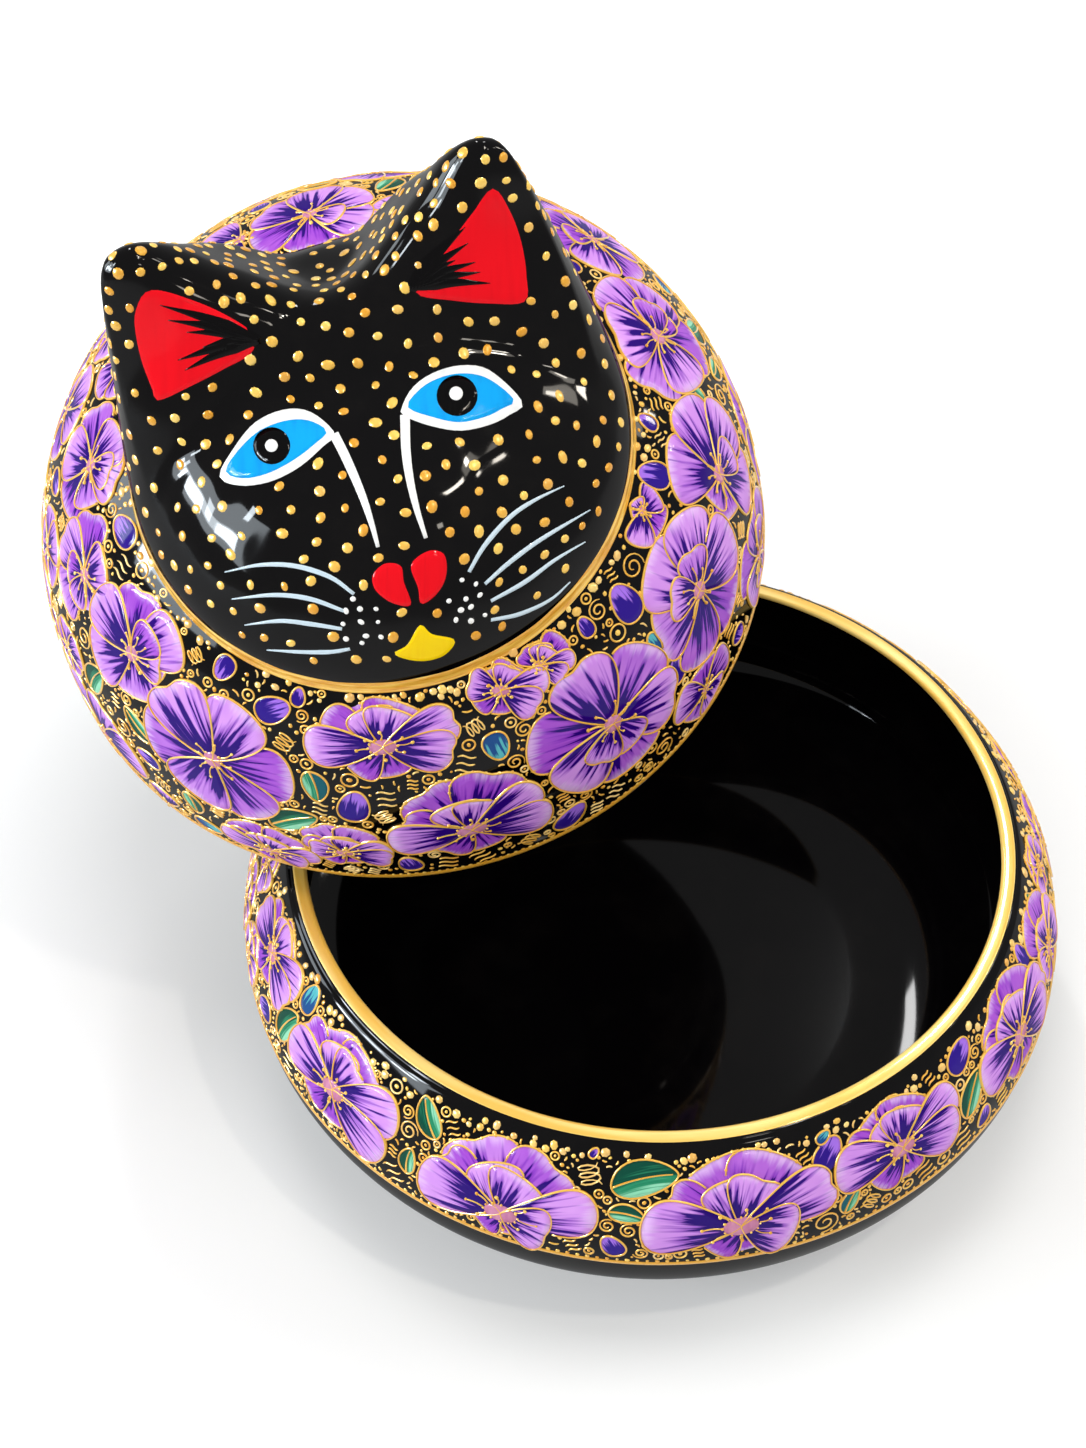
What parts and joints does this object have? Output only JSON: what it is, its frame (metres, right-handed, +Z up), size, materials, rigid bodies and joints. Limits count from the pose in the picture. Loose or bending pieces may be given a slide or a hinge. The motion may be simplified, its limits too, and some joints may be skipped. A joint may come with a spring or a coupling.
{
  "type": "papier mache trinket box",
  "caption": "Round lacquered papier mache trinket box: open bowl, and a domed lid with a sculpted cat's head and a locating collar, painted with violet flowers on black.",
  "frame": {"origin": "centre of the bowl's flat underside, where it meets the table", "axes": "+Z up along the bowl's axis; -Y towards the viewer; the lid lies off the bowl towards -X and +Y, as in the picture"},
  "size_m": [0.1625, 0.1632, 0.1504],
  "materials": {
    "bowl_lacquer": "glossy lacquer, violet flowers on black outside, plain black inside",
    "dome_lacquer": "glossy lacquer, violet flowers with gold outlines on black",
    "collar_lacquer": "glossy black lacquer",
    "head_lacquer": "glossy black lacquer with gold dots and a painted face",
    "ear_lacquer": "glossy black lacquer with gold dots and red inner ears"
  },
  "bodies": {
    "base": {"base_bowl": "bowl_lacquer"},
    "lid": {"lid_dome": "dome_lacquer", "lid_collar": "collar_lacquer", "cat_head": "head_lacquer", "ear_left": "ear_lacquer", "ear_right": "ear_lacquer"}
  },
  "joints": [
    {"name": "lid_lift", "type": "slide", "parent": "base", "child": "lid", "axis": [0, 0, 1], "range_m": [0, 0.1]}
  ]
}
